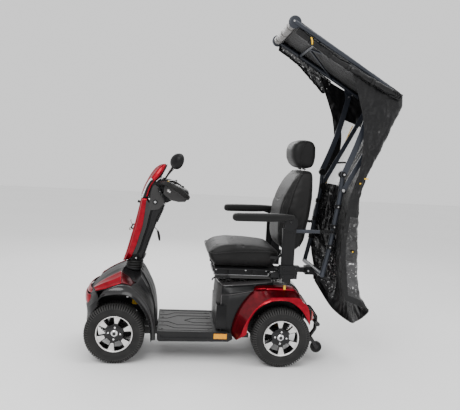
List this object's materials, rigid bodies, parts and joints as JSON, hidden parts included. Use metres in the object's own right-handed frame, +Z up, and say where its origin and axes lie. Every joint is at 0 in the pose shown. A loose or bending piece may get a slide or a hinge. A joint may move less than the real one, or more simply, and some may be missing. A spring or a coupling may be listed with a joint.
{
  "type": "mobility scooter",
  "caption": "Road-going mobility scooter with tilting tiller, swivelling captain's seat on a sprung drive unit, and a folding weather canopy half open behind the seat.",
  "frame": {"origin": "on the ground, at the centre of the whole machine's outline seen from above", "axes": "+X forward, +Y to the rider's left, +Z up"},
  "size_m": [1.7773, 0.6588, 1.991],
  "materials": {
    "frame_steel": "satin black powder coat",
    "machined": "brushed",
    "battery_case": "moulded",
    "deck_mat": "grained",
    "grey_plastic": "grained dark grey",
    "red_paint": "metallic red lacquer",
    "clear_lens": "clear lens over reflector",
    "red_lens": "red lens",
    "cover_grey": "gloss dark grey",
    "spring_yellow": "yellow powder coat",
    "boot_rubber": "matt",
    "black_plastic": "fine grain",
    "tyre": "rubber",
    "alloy": "machined face, black pockets",
    "vinyl": "grained vinyl",
    "canopy_metal": "slate powder coat",
    "canopy_cloth": "coated cloth",
    "drive_grey": "cast"
  },
  "bodies": {
    "chassis": {"chassis_frame": "frame_steel", "batteries": "battery_case", "floor_deck": "deck_mat", "front_cowl": "grey_plastic", "red_trim": "red_paint", "lamps": "clear_lens", "tail_lamps": "red_lens", "seat_box": "grey_plastic", "rear_cover": "cover_grey", "rear_fenders": "red_paint", "rear_bumper": "frame_steel"},
    "knuckle_l": {"knuckle_left": "frame_steel"},
    "knuckle_r": {"knuckle_right": "frame_steel"},
    "tie_rod_body": {"tie_rod": "machined"},
    "wheel_fl": {"tyre_front_left": "tyre", "rim_front_left": "alloy"},
    "wheel_fr": {"tyre_front_right": "tyre", "rim_front_right": "alloy"},
    "wheel_rl": {"tyre_rear_left": "tyre", "rim_rear_left": "alloy"},
    "wheel_rr": {"tyre_rear_right": "tyre", "rim_rear_right": "alloy"},
    "drive_unit": {"rear_drive": "drive_grey", "rear_springs": "spring_yellow"},
    "anti_tip_l": {"anti_tip_left": "black_plastic"},
    "anti_tip_r": {"anti_tip_right": "black_plastic"},
    "stem": {"steering_stem": "machined", "bellows": "boot_rubber"},
    "tiller": {"tiller_tube": "frame_steel", "tiller_front": "red_paint", "tiller_rear": "grey_plastic", "headlight": "clear_lens", "console": "black_plastic"},
    "throttle_paddle": {"throttle": "black_plastic"},
    "brake_handle": {"brake_lever": "black_plastic"},
    "dial": {"speed_dial": "black_plastic"},
    "ignition_key": {"key": "machined"},
    "horn": {"horn_button": "black_plastic"},
    "light_switch": {"light_button": "black_plastic"},
    "tilt_handle": {"tilt_lever": "black_plastic"},
    "mirror_l": {"mirror_left": "black_plastic"},
    "mirror_r": {"mirror_right": "black_plastic"},
    "swivel": {"swivel_base": "frame_steel"},
    "swivel_handle": {"swivel_lever": "black_plastic"},
    "seat": {"slide_plate": "frame_steel", "seat_cushion": "vinyl", "arm_uprights": "frame_steel", "canopy_base": "canopy_metal", "canopy_curtain": "canopy_cloth"},
    "slide_handle": {"slide_lever": "black_plastic"},
    "recline_handle": {"recline_lever": "black_plastic"},
    "backrest": {"seat_backrest": "vinyl"},
    "headrest": {"seat_headrest": "vinyl"},
    "armrest_l": {"armrest_left": "boot_rubber"},
    "armrest_r": {"armrest_right": "boot_rubber"},
    "arms": {"canopy_arms": "canopy_metal"},
    "links": {"canopy_links": "canopy_metal"},
    "roof": {"roof_frame": "canopy_metal", "roof_panel": "canopy_cloth", "rolled_screens": "canopy_cloth"}
  },
  "joints": [
    {"name": "tiller_steer", "type": "hinge", "parent": "chassis", "child": "stem", "pos_m": [0.60565, 0, 0.52], "axis": [-0.1392, 0, 0.9903], "range_deg": [-30, 30]},
    {"name": "kingpin_left", "type": "hinge", "parent": "chassis", "child": "knuckle_l", "pos_m": [0.68765, 0.15, 0.17], "axis": [-0.1392, 0, 0.9903], "range_deg": [-30, 30]},
    {"name": "kingpin_right", "type": "hinge", "parent": "chassis", "child": "knuckle_r", "pos_m": [0.68765, -0.15, 0.17], "axis": [-0.1392, 0, 0.9903], "range_deg": [-30, 30]},
    {"name": "tie_rod_pivot", "type": "hinge", "parent": "knuckle_r", "child": "tie_rod_body", "pos_m": [0.62086, -0.15, 0.21413], "axis": [-0.1392, 0, 0.9903], "range_deg": [-30, 30]},
    {"name": "tiller_tilt", "type": "hinge", "parent": "stem", "child": "tiller", "pos_m": [0.60565, 0, 0.52], "axis": [0, -1, 0], "range_deg": [-8, 18], "deforming": ["bellows"]},
    {"name": "front_left_spin", "type": "hinge", "parent": "knuckle_l", "child": "wheel_fl", "pos_m": [0.68765, 0.228, 0.17], "axis": [0, 1, 0], "continuous": true},
    {"name": "front_right_spin", "type": "hinge", "parent": "knuckle_r", "child": "wheel_fr", "pos_m": [0.68765, -0.228, 0.17], "axis": [0, 1, 0], "continuous": true},
    {"name": "rear_suspension", "type": "hinge", "parent": "chassis", "child": "drive_unit", "pos_m": [-0.04735, 0, 0.185], "axis": [0, 1, 0], "range_deg": [0, 5], "stiffness_Nm_per_rad": 3500, "springref_deg": -5.16, "deforming": ["rear_springs"]},
    {"name": "rear_left_spin", "type": "hinge", "parent": "drive_unit", "child": "wheel_rl", "pos_m": [-0.26335, 0.243, 0.17], "axis": [0, 1, 0], "continuous": true},
    {"name": "rear_right_spin", "type": "hinge", "parent": "drive_unit", "child": "wheel_rr", "pos_m": [-0.26335, -0.243, 0.17], "axis": [0, 1, 0], "continuous": true},
    {"name": "anti_tip_left_spin", "type": "hinge", "parent": "chassis", "child": "anti_tip_l", "pos_m": [-0.50135, 0.1695, 0.087], "axis": [0, 1, 0], "continuous": true},
    {"name": "anti_tip_right_spin", "type": "hinge", "parent": "chassis", "child": "anti_tip_r", "pos_m": [-0.50135, -0.1695, 0.087], "axis": [0, 1, 0], "continuous": true},
    {"name": "throttle_turn", "type": "hinge", "parent": "tiller", "child": "throttle_paddle", "pos_m": [0.38165, 0, 1.034], "axis": [0, 0, 1], "range_deg": [-12, 12], "stiffness_Nm_per_rad": 2},
    {"name": "brake_squeeze", "type": "hinge", "parent": "tiller", "child": "brake_handle", "pos_m": [0.41965, 0.12, 0.982], "axis": [0, 0, 1], "range_deg": [0, 15], "stiffness_Nm_per_rad": 2, "springref_deg": -5.73},
    {"name": "dial_turn", "type": "hinge", "parent": "tiller", "child": "dial", "pos_m": [0.43765, 0.048, 1.037], "axis": [0, 0, 1], "range_deg": [-140, 140]},
    {"name": "key_turn", "type": "hinge", "parent": "tiller", "child": "ignition_key", "pos_m": [0.43765, -0.048, 1.04], "axis": [0, 0, 1], "range_deg": [0, 90]},
    {"name": "horn_press", "type": "slide", "parent": "tiller", "child": "horn", "axis": [0, 0, 1], "range_m": [-0.003, 0], "stiffness_N_per_m": 400, "springref_m": 0.001},
    {"name": "light_press", "type": "slide", "parent": "tiller", "child": "light_switch", "axis": [0, 0, 1], "range_m": [-0.003, 0], "stiffness_N_per_m": 400, "springref_m": 0.001},
    {"name": "tilt_lever_pull", "type": "hinge", "parent": "tiller", "child": "tilt_handle", "pos_m": [0.52058, 0, 0.70861], "axis": [0, 1, 0], "range_deg": [0, 12], "stiffness_Nm_per_rad": 3, "springref_deg": -5.73},
    {"name": "mirror_left_fold", "type": "hinge", "parent": "tiller", "child": "mirror_l", "pos_m": [0.45165, 0.076, 1.036], "axis": [0, 0, 1], "range_deg": [-25, 25]},
    {"name": "mirror_right_fold", "type": "hinge", "parent": "tiller", "child": "mirror_r", "pos_m": [0.45165, -0.076, 1.036], "axis": [0, 0, 1], "range_deg": [-25, 25]},
    {"name": "seat_swivel", "type": "hinge", "parent": "chassis", "child": "swivel", "pos_m": [-0.00935, 0, 0.45], "axis": [0, 0, -1], "range_deg": [-90, 90]},
    {"name": "swivel_lever_pull", "type": "hinge", "parent": "swivel", "child": "swivel_handle", "pos_m": [0.03765, 0.035, 0.48], "axis": [0, 0, 1], "range_deg": [-12, 0], "stiffness_Nm_per_rad": 3, "springref_deg": 5.73},
    {"name": "seat_slide", "type": "slide", "parent": "swivel", "child": "seat", "axis": [-1, 0, 0], "range_m": [-0.04, 0.06]},
    {"name": "slide_lever_pull", "type": "hinge", "parent": "seat", "child": "slide_handle", "pos_m": [0.04765, 0.185, 0.497], "axis": [0, 0, 1], "range_deg": [0, 10], "stiffness_Nm_per_rad": 3, "springref_deg": -5.73},
    {"name": "backrest_recline", "type": "hinge", "parent": "seat", "child": "backrest", "pos_m": [-0.29735, 0, 0.69], "axis": [0, -1, 0], "range_deg": [-45, 8]},
    {"name": "recline_lever_pull", "type": "hinge", "parent": "seat", "child": "recline_handle", "pos_m": [-0.29735, 0.242, 0.69], "axis": [0, -1, 0], "range_deg": [0, 15], "stiffness_Nm_per_rad": 3, "springref_deg": -8.59},
    {"name": "headrest_height", "type": "slide", "parent": "backrest", "child": "headrest", "axis": [-0.1826, 0, 0.9832], "range_m": [0, 0.05]},
    {"name": "armrest_left_flip", "type": "hinge", "parent": "seat", "child": "armrest_l", "pos_m": [-0.27735, 0.285, 0.848], "axis": [0, -1, 0], "range_deg": [0, 95]},
    {"name": "armrest_right_flip", "type": "hinge", "parent": "seat", "child": "armrest_r", "pos_m": [-0.27735, -0.285, 0.848], "axis": [0, -1, 0], "range_deg": [0, 95]},
    {"name": "canopy_fold", "type": "hinge", "parent": "seat", "child": "arms", "pos_m": [-0.57435, 0, 1.128], "axis": [0, 1, 0], "range_deg": [-24, 20], "deforming": ["canopy_curtain"]},
    {"name": "canopy_link_turn", "type": "hinge", "parent": "seat", "child": "links", "pos_m": [-0.58235, 0, 1.036], "axis": [0, 1, 0], "range_deg": [-22, 18]},
    {"name": "roof_tilt", "type": "hinge", "parent": "arms", "child": "roof", "pos_m": [-0.72535, 0, 1.624], "axis": [0, 1, 0], "range_deg": [-12, 12]}
  ],
  "couplings": [
    {"joint": "kingpin_left", "follows": "tiller_steer", "ratio": 1},
    {"joint": "kingpin_right", "follows": "tiller_steer", "ratio": 1},
    {"joint": "tie_rod_pivot", "follows": "tiller_steer", "ratio": -1},
    {"joint": "canopy_link_turn", "follows": "canopy_fold", "ratio": 0.8632},
    {"joint": "roof_tilt", "follows": "canopy_fold", "ratio": -0.3048}
  ]
}
